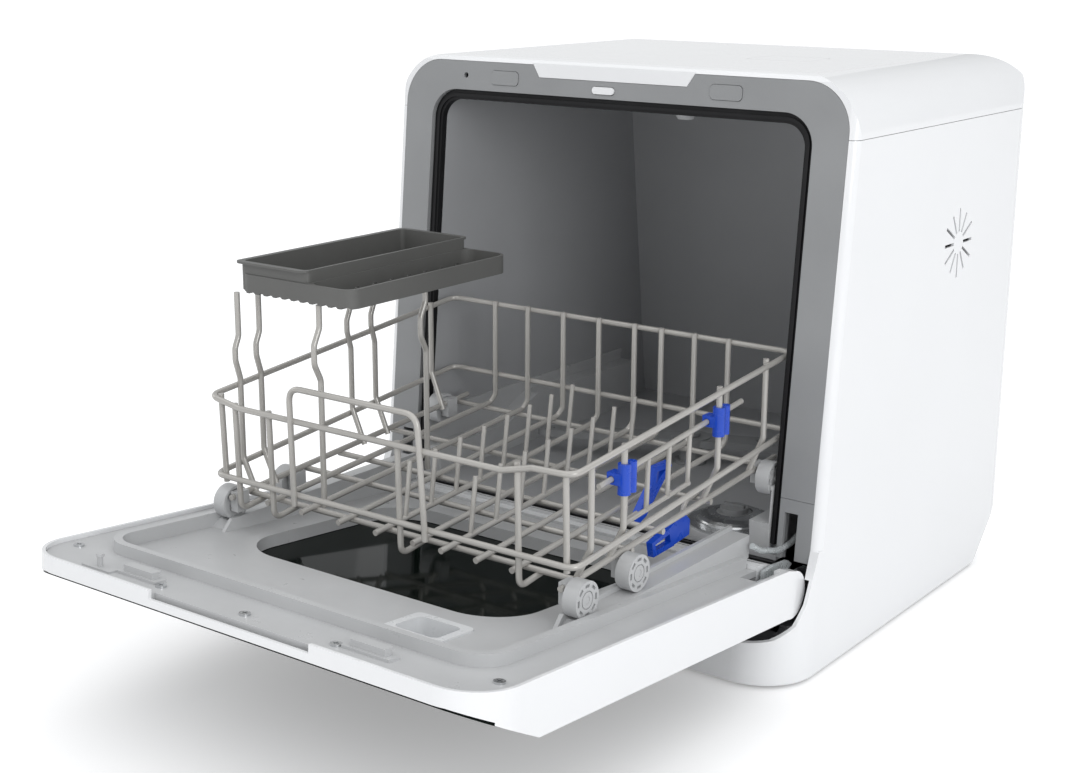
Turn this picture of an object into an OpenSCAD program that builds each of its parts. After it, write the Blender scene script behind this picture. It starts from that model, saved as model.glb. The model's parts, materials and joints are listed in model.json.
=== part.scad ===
// Countertop dishwasher, door let down and basket drawn out
// Millimetres, Z up, Y to the back, X across the front

/* [Cabinet] */
// Width over the two side panels
body_w = 420; // [410:1:440]
// Height of the top above the floor
body_h = 438; // [434:1:450]
// Depth from the foot of the sealing frame to the back
body_d = 368; // [360:1:380]
// Backward lean of the sealing frame in degrees
lean = 5.4; // [4.5:0.1:6]
// Wall thickness of the outer panels
wall = 2.6; // [2:0.1:3]
// Radius of the long top edges
edge_r = 43; // [38:1:46]
// Radius of the rear upright edges
rear_r = 30; // [24:1:32]
// Radius of the top rear edge
crown_r = 43; // [40:1:48]
// How far the chin stands out in front of the frame foot
chin_d = 37; // [35:0.5:38]
// Seam between neighbouring panels
seam = 0.4; // [0.3:0.05:0.6]

/* [Sealing frame] */
// Corner radius of the frame
frame_r = 35; // [30:1:38]
// Width of the rubber seal
seal_w = 7.5; // [6:0.5:8]
// Half width of the latch pads
pad_half = 13.5; // [11:0.5:15]

/* [Door] */
// Thickness of the door walls
door_wall = 2.5; // [2:0.1:3]
// Height of the white front band
band_h = 12; // [10:0.5:14]
// Corner radius of the door in plan
door_r = 35; // [30:1:38]
// Upward tilt of the opened door in degrees
tilt = 5.1; // [4.6:0.1:5.4]
// Thickness of the front glass
glass_t = 3; // [2.5:0.1:3.4]

/* [Basket] */
// Radius of the coated wire
wire_r = 2.2; // [1.8:0.1:2.4]
// Radius of the basket wheels
wheel_r = 12.7; // [12:0.1:12.8]
// Width of a basket wheel
wheel_w = 11; // [9:0.5:11]
// Height of the cutlery tray rim above its floor
tray_h = 14; // [10:1:18]

/* [Hidden] */
$fn = 40;
half = body_w / 2;
foot_h = 3;
gap = 0.3;
round_f = 7;
frame_half = half - round_f;
frame_t = 3;
frame_top = (body_h - 4.4 - foot_h) / cos(lean);
tub_half = half - 42.5;
seal_half = tub_half + seal_w;
tub_top = body_h - 35;
seal_top = (tub_top - foot_h) / cos(lean);
crease_z = body_h - max(edge_r, crown_r) - 0.5;
cover_u = 131;
hinge_z = 71.6;
hinge_y = ((hinge_z - foot_h) * sin(lean) - 20.4) / cos(lean);
hinge_u = (hinge_z - foot_h) * cos(lean) + hinge_y * sin(lean);
door_half = frame_half - 0.5;
door_len = frame_top - hinge_u - 2;
door_top = 20;
door_low = -17.5;
chamfer_d = 57;
barrel_r = 18;
panel_z = 17;
barrel_top = hinge_z + door_top + 2;
floor_in = 15;
trough_r = 24;
trough_t = 2.5;
chin_z = 35;
track_ref = 111.4;
track_in = tub_half - 15.3;
wheel_x = tub_half - 8.5;
wheel_z = track_ref + 12.8 + gap;
rear_wheel_z = wheel_z + 18.5;
axle_r = 2.5;
front_wheel_y = -219;
mid_wheel_y = -159.5;
rear_wheel_y = 24;
track_rise = 5.3;
track_z = round(10 * (door_z(front_wheel_y - wheel_r, floor_in) + track_rise)) / 10;
rear_track_z = track_z + 18.4;
axle_rail_z = track_z + 28.2;
hook_r = 2;
travel = 248;
basket_half = tub_half - 5.5;
post_x = 78 - basket_half;
lever_x = basket_half - 24;
lever_2_x = basket_half - 40;
arm_x = 0;
arm_y = 172;
floor_z = 88;
sheet = 2;
filter_x = tub_half - 56.5;
filter_y = 57;
vent_y = 226;
vent_z = 297;
vent_r = 28;
cap_x = 78;
cap_y = 176;
fit_len = 14;
front_tip = hinge_y - door_len * cos(tilt) + (door_top - band_h) * sin(tilt);
back_tip = body_d + fit_len;
mid_y = (front_tip + back_tip) / 2;

white = [0.93, 0.94, 0.95];
grey = [0.62, 0.63, 0.64];
light_grey = [0.72, 0.73, 0.73];
dark = [0.08, 0.08, 0.09];
taupe = [0.59, 0.56, 0.53];
steel = [0.75, 0.76, 0.77];
blue = [0.1, 0.24, 0.86];

function plane_y(z, n) = (z - foot_h) * tan(lean) + n / cos(lean);
function door_z(y, h) = hinge_z + h / cos(tilt) - (y - hinge_y) * tan(tilt);

// ---- shared helpers ----

module settle() { translate([0, -mid_y, 0]) children(); }

module on_front() { settle() translate([0, 0, foot_h]) rotate([-lean, 0, 0]) children(); }

module on_door() { settle() translate([0, hinge_y, hinge_z]) rotate([-tilt, 0, 0]) children(); }

// sheet cut parallel to the sealing frame, n is the depth behind its face
module plate(n0, n1) {
  on_front() translate([0, n1, 0]) rotate([90, 0, 0]) linear_extrude(n1 - n0) children();
}

// outline in the Y Z plane drawn across the width
module across(x0, x1) {
  translate([x0, 0, 0]) rotate([90, 0, 90]) linear_extrude(x1 - x0) children();
}

module arch_2d(w, low, high, r) {
  translate([-w, low]) square([2 * w, high - low - r]);
  translate([r - w, low]) square([2 * (w - r), high - low]);
  for (s = [-1, 1]) translate([s * (w - r), high - r]) circle(r = r);
}

module round_2d(x0, y0, x1, y1, r) {
  translate([x0 + r, y0]) square([x1 - x0 - 2 * r, y1 - y0]);
  translate([x0, y0 + r]) square([x1 - x0, y1 - y0 - 2 * r]);
  for (x = [x0 + r, x1 - r], y = [y0 + r, y1 - r]) translate([x, y]) circle(r = r);
}

module wire(a, b, r = wire_r) {
  d = b - a;
  reach = norm(d);
  translate(a) rotate([0, acos(d[2] / reach), atan2(d[1], d[0])]) cylinder(r = r, h = reach);
}

// run of wire through points, the lengths lap over each other at the bends
module pipe(points, r = wire_r) {
  for (i = [0 : len(points) - 2]) {
    d = points[i + 1] - points[i];
    lap = d / norm(d) * r * 0.6;
    wire(points[i] - (i > 0 ? lap : 0 * d), points[i + 1] + (i < len(points) - 2 ? lap : 0 * d), r);
  }
}

// ---- cabinet ----

module side_2d(g) {
  y_back = body_d - g;
  z_top = body_h - g;
  r = crown_r - g;
  z_rim = body_h - 4.4;
  polygon([
    [-chin_d + g, g > 0 ? foot_h - 2 : foot_h],
    [-chin_d + g, g > 0 ? 76 : chin_z],
    g > 0 ? [plane_y(80, frame_t), 80] : [-26, 38.5],
    g > 0 ? [plane_y(85, frame_t), 85] : [-13, 47.5],
    g > 0 ? [plane_y(90, frame_t), 90] : [-4, 62],
    g > 0 ? [plane_y(95, frame_t), 95] : [1, 78],
    [plane_y(99, g > 0 ? frame_t : 0), 99],
    [plane_y(z_rim - g, g > 0 ? frame_t : 0), z_rim - g],
    [plane_y(z_rim, 2.6 + g), z_top - 1],
    [plane_y(z_rim, 9 + g), z_top],
    [y_back - r, z_top],
    [y_back - r, z_top - r],
    [y_back, z_top - r],
    [y_back, 100],
    [y_back - 6, 60],
    [y_back - 62, g > 0 ? foot_h - 2 : foot_h]
  ]);
  translate([y_back - r, z_top - r]) circle(r = r);
}

module plan_2d(g) {
  rf = 44 - g;
  rb = rear_r - g;
  y0 = -chin_d + g;
  y1 = body_d - g;
  w = half - g;
  translate([-w, y0 + rf]) square([2 * w, y1 - y0 - rf - rb]);
  translate([rf - w, y0]) square([2 * (w - rf), rf + 1]);
  translate([rb - w, y1 - rb - 1]) square([2 * (w - rb), rb + 1]);
  for (s = [-1, 1]) {
    translate([s * (w - rf), y0 + rf]) circle(r = rf);
    translate([s * (w - rb), y1 - rb]) circle(r = rb);
  }
}

module cabinet_form(g) {
  intersection() {
    translate([0, body_d + 10, 0]) rotate([90, 0, 0]) linear_extrude(body_d + 80)
      arch_2d(half - g, g > 0 ? foot_h - 2 : foot_h, body_h - g, edge_r - g);
    across(-half - 5, half + 5) side_2d(g);
    translate([0, 0, -5]) linear_extrude(body_h + 10) plan_2d(g);
  }
}

module front_softening() {
  reach = body_h + body_d;
  translate([0, 0, foot_h]) rotate([-lean, 0, 0]) translate([0, 0, 95]) linear_extrude(reach) {
    translate([-half, round_f]) square([2 * half, reach]);
    translate([round_f - half, 0]) square([2 * (half - round_f), reach]);
    for (s = [-1, 1]) translate([s * (half - round_f), round_f]) circle(r = round_f);
  }
  translate([-half - 1, -60, 0]) cube([2 * half + 2, body_d + 80, 99]);
}

module skin() {
  settle() difference() {
    intersection() {
      cabinet_form(0);
      front_softening();
    }
    cabinet_form(wall);
  }
}

module frame_window(grow) {
  plate(-60, frame_t + 1) arch_2d(frame_half + grow, 60, frame_top + grow, frame_r + grow);
}

module zone(x0, x1, y0, y1, z0, z1) {
  settle() translate([x0, y0, z0]) cube([x1 - x0, y1 - y0, z1 - z0]);
}

module tongue_2d(grow) {
  low = frame_top - 9.5 - grow;
  polygon([
    [-68 - grow, low], [68 + grow, low],
    [75 + grow, frame_top + 1.2], [-75 - grow, frame_top + 1.2]
  ]);
}

module cap_hole(grow, z0, z1) {
  settle() translate([0, 0, z0]) linear_extrude(z1 - z0)
    round_2d(cap_x - 27 - grow, cap_y - 24 - grow, cap_x + 27 + grow, cap_y + 24 + grow, 8);
}

module top_cover() {
  color(white) difference() {
    union() {
      difference() {
        intersection() {
          skin();
          zone(-half - 1, half + 1, -60, body_d + 20, crease_z + seam / 2, body_h + 5);
        }
        frame_window(gap);
      }
      plate(0, frame_t) tongue_2d(0);
      // seat around the filling opening
      cap_hole(3.5, body_h - 9, body_h - wall + 0.2);
    }
    cap_hole(gap, body_h - 6, body_h + 1);
    cap_hole(-5, body_h - 12, body_h + 1);
  }
}

module rear_zone(grow) {
  w = half - rear_r - 3 + grow;
  zone(-w, w, body_d - 57 - grow, body_d + 20, foot_h - 1, crease_z - seam / 2 + grow);
}

module vent_slots() {
  // twelve slots in a star over the drying fan
  settle() for (k = [0 : 11])
    translate([half - 8, vent_y, vent_z]) rotate([k * 30, 0, 0])
      translate([0, -1.2, 9]) cube([16, 2.4, vent_r - 9 - 2 * (k % 2)]);
}

module side_panel(s) {
  difference() {
    intersection() {
      skin();
      zone(s > 0 ? 0 : -half - 1, s > 0 ? half + 1 : 0, -60, body_d + 20, 0, crease_z - seam / 2);
    }
    frame_window(gap);
    rear_zone(seam);
    zone(-110, 110, -60, 10, 0, 99);
    if (s > 0) vent_slots();
  }
}

module side_panel_left() { color(white) side_panel(-1); }

module side_panel_right() { color(white) side_panel(1); }

module rear_panel() {
  color(white) difference() {
    intersection() {
      skin();
      rear_zone(0);
    }
    // holes of the water and power fittings
    settle() for (p = [[-130, 150, 14.5], [-88, 150, 11.5]])
      translate([p[0], body_d - 30, p[1]]) rotate([-90, 0, 0]) cylinder(r = p[2], h = 60);
    zone(105, 137, body_d - 20, body_d + 20, 126, 150);
    // cooling slots of the machine room
    settle() for (i = [0 : 8])
      translate([-40 + i * 10, body_d - 20, 140]) cube([4, 40, 34]);
  }
}

module kick_panel() {
  color(white) intersection() {
    skin();
    zone(-110 + seam, 110 - seam, -60, 0, 0, 60);
  }
}

module base_pan() {
  color(dark) difference() {
    settle() union() {
      intersection() {
        cabinet_form(wall + seam);
        translate([-half, -60, foot_h]) cube([body_w, body_d + 80, 2.5]);
      }
      // raised beams under the pumps
      for (x = [-130, 130]) translate([x - 5, 40, foot_h + 2]) cube([10, 220, 9]);
    }
    settle() for (x = [-1, 1], y = [22, body_d - 86])
      translate([x * (half - 50), y, 0]) cylinder(r = 4.3, h = 12);
  }
}

module feet() {
  color(dark) settle() for (x = [-1, 1], y = [22, body_d - 86])
    translate([x * (half - 50), y, 0]) {
      cylinder(r = 12, h = foot_h);
      cylinder(r = 4, h = foot_h + 6);
    }
}

// ---- front of the cabinet ----

module pad_2d(x, grow) {
  round_2d(x - pad_half - grow, frame_top - 17.5 - grow, x + pad_half + grow, frame_top - 6.5 + grow, 3.5);
}

module pill_2d(grow) {
  round_2d(-16 - grow, frame_top - 19.4 - grow, 4 + grow, frame_top - 13.9 + grow, 2.7);
}

module front_frame() {
  color(grey) difference() {
    union() {
      plate(0, frame_t) difference() {
        arch_2d(frame_half, cover_u + gap, frame_top, frame_r);
        arch_2d(seal_half + gap, 0, seal_top + seal_w + gap, 24);
        tongue_2d(gap);
        for (s = [-1, 1]) pad_2d(s * 102, gap);
        pill_2d(gap + 0.1);
        translate([-141.6, frame_top - 11.3]) circle(r = 2.2);
      }
      // channel wall that holds the seal
      plate(frame_t - 0.5, 9.6) difference() {
        arch_2d(seal_half + gap + 2.2, cover_u + gap, seal_top + seal_w + gap + 2.2, 26);
        arch_2d(seal_half + gap, 0, seal_top + seal_w + gap, 24);
        pill_2d(gap + 2);
      }
      // stiffening rim round the outside
      plate(frame_t - 0.5, 8) difference() {
        arch_2d(frame_half - 1, cover_u + gap, frame_top - 3, frame_r - 2);
        arch_2d(frame_half - 3.2, 0, frame_top - 5.2, frame_r - 4);
        translate([-76, frame_top - 13]) square([152, 20]);
      }
    }
  }
}

module hinge_cover(s) {
  plate(0, frame_t) difference() {
    translate([s > 0 ? seal_half + gap : -frame_half, 86]) square([frame_half - seal_half - gap, cover_u - 86]);
    translate([s * (half - 25) - 5.5, 80]) square([11, 41]);
  }
  plate(frame_t - 0.5, 9.6)
    translate([s > 0 ? seal_half + gap : -seal_half - gap - 2.2, 96]) square([2.2, cover_u - 96]);
}

module hinge_cover_left() { color(grey) hinge_cover(-1); }

module hinge_cover_right() { color(grey) hinge_cover(1); }

module latch_pads() {
  color(grey) for (s = [-1, 1]) {
    plate(-0.6, 12) pad_2d(s * 102, 0);
    plate(frame_t, 5) pad_2d(s * 102, 1);
  }
}

module latch_plunger() {
  color(white) {
    plate(-1.5, 8.4) pill_2d(0);
    plate(frame_t + 0.8, 5.4) pill_2d(1.8);
  }
}

module hinge_trough() {
  w = half - wall - seam;
  y0 = -chin_d + wall + seam;
  color(dark) difference() {
    settle() intersection() {
      union() {
        across(-w, w) difference() {
          intersection() {
            translate([hinge_y, hinge_z]) circle(r = trough_r + trough_t);
            translate([hinge_y - 2, hinge_z - 40]) square([60, 52.5]);
          }
          translate([hinge_y, hinge_z]) circle(r = trough_r);
        }
        across(-w, w) polygon([
          [y0, chin_z - 2.2], [y0, chin_z + 0.2], [-26, 38.5], [hinge_y, hinge_z - trough_r - 0.3],
          [hinge_y + 3, hinge_z - trough_r - 0.5], [hinge_y + 3, hinge_z - trough_r - 2],
          [hinge_y, hinge_z - trough_r - 2], [-26, 36]
        ]);
      }
      translate([0, 0, 10]) linear_extrude(100) plan_2d(wall + seam);
    }
    for (s = [-1, 1]) zone(s * (half - 23) - 7, s * (half - 23) + 7, hinge_y - 6, 30, 30, 110);
    // clear of the edge that the side panels turn in
    plate(-10, 8) for (s = [-1, 1]) translate([s * (half - 2) - 5.2, 73]) square([10.4, 50]);
  }
}

module door_gasket() {
  color(dark) {
    plate(4, 9.6) difference() {
      arch_2d(seal_half, 94, seal_top + seal_w, 23.7);
      arch_2d(tub_half, 90, seal_top, 17);
    }
    // soft lip that the door rim presses on
    plate(2.6, 4.2) difference() {
      arch_2d(tub_half + 4.5, 94, seal_top + 4.5, 20);
      arch_2d(tub_half + 2, 90, seal_top + 2, 18);
    }
  }
}

// ---- tub ----

module tub_side_2d(g) {
  polygon([
    [plane_y(floor_z - g, g > 0 ? 10 : -6), floor_z - g],
    [body_d - 13 + g, floor_z - g],
    [body_d - 45 + g, 370],
    [body_d - 58 + g, tub_top - 6],
    [body_d - 66 + g, tub_top + g],
    [plane_y(tub_top + g, g > 0 ? 10 : -6), tub_top + g]
  ]);
}

module tub() {
  color(light_grey) difference() {
    union() {
      settle() across(-tub_half - sheet, tub_half + sheet) tub_side_2d(sheet);
      plate(10, 12) arch_2d(tub_half + 10, 84, frame_top - 22, 26);
      // sill in front of the floor
      settle() across(-tub_half - 6, tub_half + 6) polygon([
        [plane_y(floor_z, 4), floor_z], [plane_y(floor_z, 12), floor_z],
        [plane_y(84, 12), 84], [plane_y(84, 4), 84]
      ]);
      settle() translate([filter_x, filter_y, 50]) cylinder(r = 33, h = floor_z - 51);
    }
    settle() across(-tub_half, tub_half) tub_side_2d(0);
    settle() translate([filter_x, filter_y, 52]) cylinder(r = 31, h = floor_z);
    settle() translate([arm_x, arm_y, floor_z - 10]) cylinder(r = 7, h = 20);
    // outlet of the sump
    settle() translate([filter_x, filter_y + 20, 62]) rotate([-90, 0, 0]) cylinder(r = 9, h = 20);
  }
}

module rail_2d(g) {
  polygon([
    [plane_y(track_z, 1) + g, track_z - g],
    [105, track_z - g], [150, rear_track_z - g],
    [body_d - 60 - g, rear_track_z - g], [body_d - 60 - g, g > 0 ? floor_z - 2 : floor_z],
    [plane_y(floor_z, 5) + g, g > 0 ? floor_z - 2 : floor_z]
  ]);
}

module tub_rails() {
  w = tub_half - 0.2;
  color(light_grey) settle() for (s = [0, 1]) mirror([s, 0, 0]) {
    difference() {
      across(track_in - 2, w) rail_2d(0);
      across(track_in, w - 2) rail_2d(2);
    }
    // narrow rail for the axle ends of the rear wheels
    across(w - 1.2, w) polygon([
      [plane_y(100, 2), 100], [plane_y(axle_rail_z - 0.6, 2), axle_rail_z], [body_d - 60, axle_rail_z],
      [body_d - 60, 110], [120, 100]
    ]);
    across(w - 2.3, w - 1) polygon([
      [plane_y(axle_rail_z - 3.6, 2), axle_rail_z - 3], [plane_y(axle_rail_z - 0.6, 2), axle_rail_z],
      [body_d - 60, axle_rail_z], [body_d - 60, axle_rail_z - 3]
    ]);
  }
}

module spray_hub() {
  color(grey) settle() translate([arm_x, arm_y, 0]) {
    translate([0, 0, 66]) cylinder(r = 6.8, h = 24);
    translate([0, 0, floor_z]) cylinder(r = 14, h = 3);
    translate([0, 0, floor_z + 2]) cylinder(r = 10, h = 14.6);
    translate([0, 0, 104]) cylinder(r = 5, h = 10);
    translate([0, 0, 112.6]) cylinder(r = 8, h = 2.6);
  }
}

module spray_arm() {
  color(grey) settle() translate([arm_x, arm_y, 105]) rotate([0, 0, 24]) difference() {
    union() {
      cylinder(r = 17, h = 7);
      linear_extrude(6) polygon([[-14, -14], [14, -14], [128, -8], [128, 8], [14, 14], [-14, 14]]);
      linear_extrude(6) polygon([[14, 14], [-14, 14], [-128, 8], [-128, -8], [-14, -14], [14, -14]]);
      for (s = [-1, 1]) translate([s * 128, 0, 0]) cylinder(r = 8, h = 6);
    }
    translate([0, 0, -1]) cylinder(r = 5.1, h = 10);
    // jets
    for (x = [-122, -96, -70, -44, 32, 58, 84, 110]) translate([x, 0, 3]) cylinder(r = 1.6, h = 5, $fn = 14);
  }
}

module filter_plate() {
  dome_r = 29;
  dome_h = 7;
  color(steel) settle() translate([filter_x, filter_y, 0]) difference() {
    union() {
      translate([0, 0, floor_z]) cylinder(r = 36, h = 1.6);
      translate([0, 0, floor_z + 1]) cylinder(r = 30, h = 3);
      // shallow dome round the hub
      translate([0, 0, floor_z + 3.6]) rotate_extrude() polygon(concat([[0, 0]],
        [for (a = [0 : 15 : 75]) [dome_r * cos(a), dome_h * sin(a)]], [[0, dome_h * sin(75)]]));
    }
    translate([0, 0, floor_z - 1]) cylinder(r = 14.4, h = 20);
  }
}

module filter_cup() {
  color(grey) settle() translate([filter_x, filter_y, 0]) {
    difference() {
      translate([0, 0, 56]) cylinder(r = 14, h = 41);
      translate([0, 0, 58]) cylinder(r = 12.4, h = 36);
      for (k = [0 : 5], z = [62, 74]) translate([0, 0, z]) rotate([0, 0, k * 60])
        translate([8, -2.5, 0]) cube([10, 5, 8]);
    }
    translate([0, 0, 96]) cylinder(r = 11, h = 5);
    translate([-9, -1.5, 100.5]) cube([18, 3, 3]);
  }
}

module ceiling_nozzle() {
  color(light_grey) settle() translate([40, 85, 0]) {
    translate([0, 0, tub_top - 4]) cylinder(r = 11, h = 4);
    translate([0, 0, tub_top - 8]) cylinder(r1 = 6, r2 = 9, h = 4.2);
  }
}

// ---- machine room ----

module circulation_pump() {
  color(dark) settle() {
    translate([arm_x, arm_y, 30]) cylinder(r = 30, h = 30);
    translate([arm_x, arm_y, 14]) cylinder(r = 24, h = 17);
    translate([arm_x, arm_y, 59]) cylinder(r = 6.5, h = 7);
    // suction pipe from the sump
    wire([arm_x + 20, arm_y - 18, 42], [filter_x - 6, filter_y + 20, 42], 8);
    for (x = [-22, 22]) translate([arm_x + x - 5, arm_y - 5, foot_h + 2.5]) cube([10, 10, 14]);
  }
}

module heater() {
  color(steel) settle() {
    translate([-60, 118, 45]) rotate([-90, 0, 0]) cylinder(r = 13, h = 90);
    translate([-60, 110, 45]) rotate([-90, 0, 0]) cylinder(r = 6, h = 106);
    for (y = [128, 190]) translate([-66, y, foot_h + 2.5]) cube([12, 8, 34]);
  }
}

module drain_pump() {
  color(dark) settle() {
    translate([-100, body_d - 82, 38]) rotate([0, 90, 0]) cylinder(r = 24, h = 26);
    translate([-76, body_d - 82, 38]) rotate([0, 90, 0]) cylinder(r = 17, h = 36);
    translate([-112, body_d - 82, 38]) rotate([0, 90, 0]) cylinder(r = 8, h = 14);
    translate([-94, body_d - 92, foot_h + 2.5]) cube([10, 20, 16]);
  }
}

module water_tank() {
  x0 = -half + wall + 0.2;
  color([0.8, 0.83, 0.85]) settle() difference() {
    translate([x0, 62, 60]) cube([half - wall - tub_half - sheet - 3, body_d - 130, 300]);
    translate([x0 + 2, 64, 62]) cube([half - wall - tub_half - sheet - 7, body_d - 134, 296]);
    translate([x0 + 17, 100, 340]) cylinder(r = 7, h = 30);
  }
}

module fan_housing() {
  x0 = tub_half + sheet + 1;
  color(dark) settle() {
    difference() {
      translate([x0, vent_y, vent_z]) rotate([0, 90, 0]) cylinder(r = vent_r + 6, h = half - wall - x0 - 0.6);
      translate([x0 + 2.5, vent_y, vent_z]) rotate([0, 90, 0]) cylinder(r = vent_r + 4, h = 50);
    }
    translate([x0 + 2, vent_y, vent_z]) rotate([0, 90, 0]) cylinder(r = 8, h = 6);
    translate([x0 + 7, vent_y, vent_z]) rotate([0, 90, 0]) cylinder(r = 3, h = 20);
  }
}

module fan_rotor() {
  x0 = tub_half + sheet + 1;
  color(grey) settle() translate([x0 + 9, vent_y, vent_z]) difference() {
    union() {
      rotate([0, 90, 0]) cylinder(r = 10, h = 15);
      rotate([0, 90, 0]) cylinder(r = vent_r, h = 1.5);
      for (k = [0 : 11]) rotate([k * 30, 0, 0]) translate([1, -0.8, 9]) cube([13, 1.6, vent_r - 9.5]);
    }
    translate([-1, 0, 0]) rotate([0, 90, 0]) cylinder(r = 3.08, h = 20);
  }
}

module control_board() {
  color([0.1, 0.3, 0.2]) settle() {
    translate([-70, 240, tub_top + sheet + 5]) cube([110, 50, 1.6]);
    for (x = [-60, 30], y = [250, 276]) translate([x, y, tub_top + sheet]) cylinder(r = 3, h = 5.5);
    translate([-50, 252, tub_top + sheet + 6.4]) cube([30, 24, 12]);
    translate([0, 250, tub_top + sheet + 6.4]) cube([24, 34, 8]);
  }
}

module fill_funnel() {
  z0 = tub_top + sheet + 0.2;
  color(grey) settle() difference() {
    union() {
      translate([cap_x - 27, cap_y - 24, z0]) cube([54, 48, body_h - 9.6 - z0]);
      translate([-half + wall + 14, cap_y - 9, z0]) cube([cap_x + half - 20, 18, 12]);
      translate([-half + wall + 18, 100, z0 - 40]) cylinder(r = 6, h = 46);
      translate([-half + wall + 11, 92, z0]) cube([14, cap_y - 88, 12]);
    }
    translate([cap_x - 25, cap_y - 22, z0 + 2]) cube([50, 44, 60]);
    translate([-half + wall + 16, cap_y - 7, z0 + 2]) cube([cap_x + half - 24, 14, 8]);
    translate([-half + wall + 13, 94, z0 + 2]) cube([10, cap_y - 94, 8]);
    translate([-half + wall + 18, 100, z0 - 50]) cylinder(r = 4, h = 56);
  }
}

module fill_cap() {
  color(white) settle() {
    translate([0, 0, body_h - 5.6]) linear_extrude(5.6)
      round_2d(cap_x - 27 + gap, cap_y - 24 + gap, cap_x + 27 - gap, cap_y + 24 - gap, 7.5);
    translate([cap_x - 16, cap_y - 12, body_h - 8.8]) cube([32, 24, 4]);
  }
}

// ---- rear fittings ----

module inlet_fitting() {
  color(grey) settle() translate([-130, 0, 150]) rotate([-90, 0, 0]) difference() {
    union() {
      translate([0, 0, body_d - wall - 3]) cylinder(r = 18, h = 3);
      translate([0, 0, body_d - wall - 11]) cylinder(r = 9, h = 9);
      translate([0, 0, body_d - wall - 1]) cylinder(r = 13.1, h = wall + 1 + fit_len);
    }
    translate([0, 0, body_d - wall - 21]) cylinder(r = 6, h = 60);
  }
}

module drain_spigot() {
  color(grey) settle() translate([-88, 0, 150]) rotate([-90, 0, 0]) difference() {
    union() {
      translate([0, 0, body_d - wall - 3]) cylinder(r = 15, h = 3);
      translate([0, 0, body_d - wall - 11]) cylinder(r = 8, h = 9);
      translate([0, 0, body_d - wall - 1]) cylinder(r = 9.5, h = wall + 1 + fit_len);
    }
    translate([0, 0, body_d - wall - 21]) cylinder(r = 6.5, h = 60);
  }
}

module power_inlet() {
  color(dark) settle() difference() {
    union() {
      translate([105.4, body_d - wall - 12, 126.4]) cube([31.2, 12 + wall + 1, 23.2]);
      translate([101, body_d - wall - 3, 122]) cube([40, 3, 32]);
    }
    translate([108, body_d - wall - 9, 129]) cube([26, 30, 18]);
  }
  color(steel) settle() for (x = [-7, 0, 7])
    translate([120 + x, body_d - wall - 9, 138 + (x == 0 ? 3 : -2)]) rotate([-90, 0, 0])
      cylinder(r = 1.2, h = 8, $fn = 16);
}

// ---- hinges ----

module hinge_brackets() {
  color(steel) settle() for (s = [-1, 1]) difference() {
    across(s * (half - 21.5) - 1.5, s * (half - 21.5) + 1.5) polygon([
      [hinge_y - 8, hinge_z - 7], [hinge_y - 8, hinge_z + 6], [hinge_y + 6, hinge_z + 9],
      [30, 78], [46, 60], [46, foot_h + 2.5], [14, foot_h + 2.5], [14, 44], [hinge_y + 4, hinge_z - 10]
    ]);
    translate([s * (half - 21.5), hinge_y, hinge_z]) rotate([0, 90, 0]) cylinder(r = 3.9, h = 10, center = true);
  }
}

module hinge_pins() {
  color(steel) settle() for (s = [-1, 1]) translate([s * (half - 24), hinge_y, hinge_z])
    rotate([0, 90, 0]) {
      cylinder(r = 3.9, h = 11, center = true);
      translate([0, 0, s > 0 ? 4 : -6]) cylinder(r = 6, h = 2);
    }
}

module hinge_springs() {
  // ribbed outline of a close wound spring
  color(steel) settle() for (s = [-1, 1]) translate([s * (half - 30), 60, foot_h + 9.1]) rotate([-90, 0, 0])
    rotate_extrude() polygon(concat([[0, 0]],
      [for (i = [0 : 24]) [i % 2 == 0 ? 5 : 6.5, i * 3]], [[0, 72]]));
}

module hinge_arms() {
  color(steel) on_door() for (s = [-1, 1]) difference() {
    across(s * (half - 25.5) - 1.5, s * (half - 25.5) + 1.5) polygon([
      [-96, -9], [-96, 4], [-40, 8], [-15.5, 11], [-15, 17], [0, 19], [20, 18.5], [27, 14.5], [20, 11.5],
      [7, 8], [9, 0], [6, -8], [-14, -10], [-40, -11]
    ]);
    translate([s * (half - 25.5), 0, 0]) rotate([0, 90, 0]) cylinder(r = 3.98, h = 10, center = true);
  }
}

// ---- door ----

module door_plan_2d(g) {
  r = door_r - g;
  w = door_half - g;
  y0 = -door_len + g;
  translate([-w, y0 + r]) square([2 * w, door_len + 30]);
  translate([r - w, y0]) square([2 * (w - r), r + 1]);
  for (s = [-1, 1]) translate([s * (w - r), y0 + r]) circle(r = r);
}

module door_side_2d() {
  polygon([
    [-door_len, door_top], [-door_len, door_top - band_h], [-door_len + chamfer_d, door_low],
    [0, door_low], [0, barrel_r], [-8, door_top]
  ]);
  circle(r = barrel_r);
}

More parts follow.
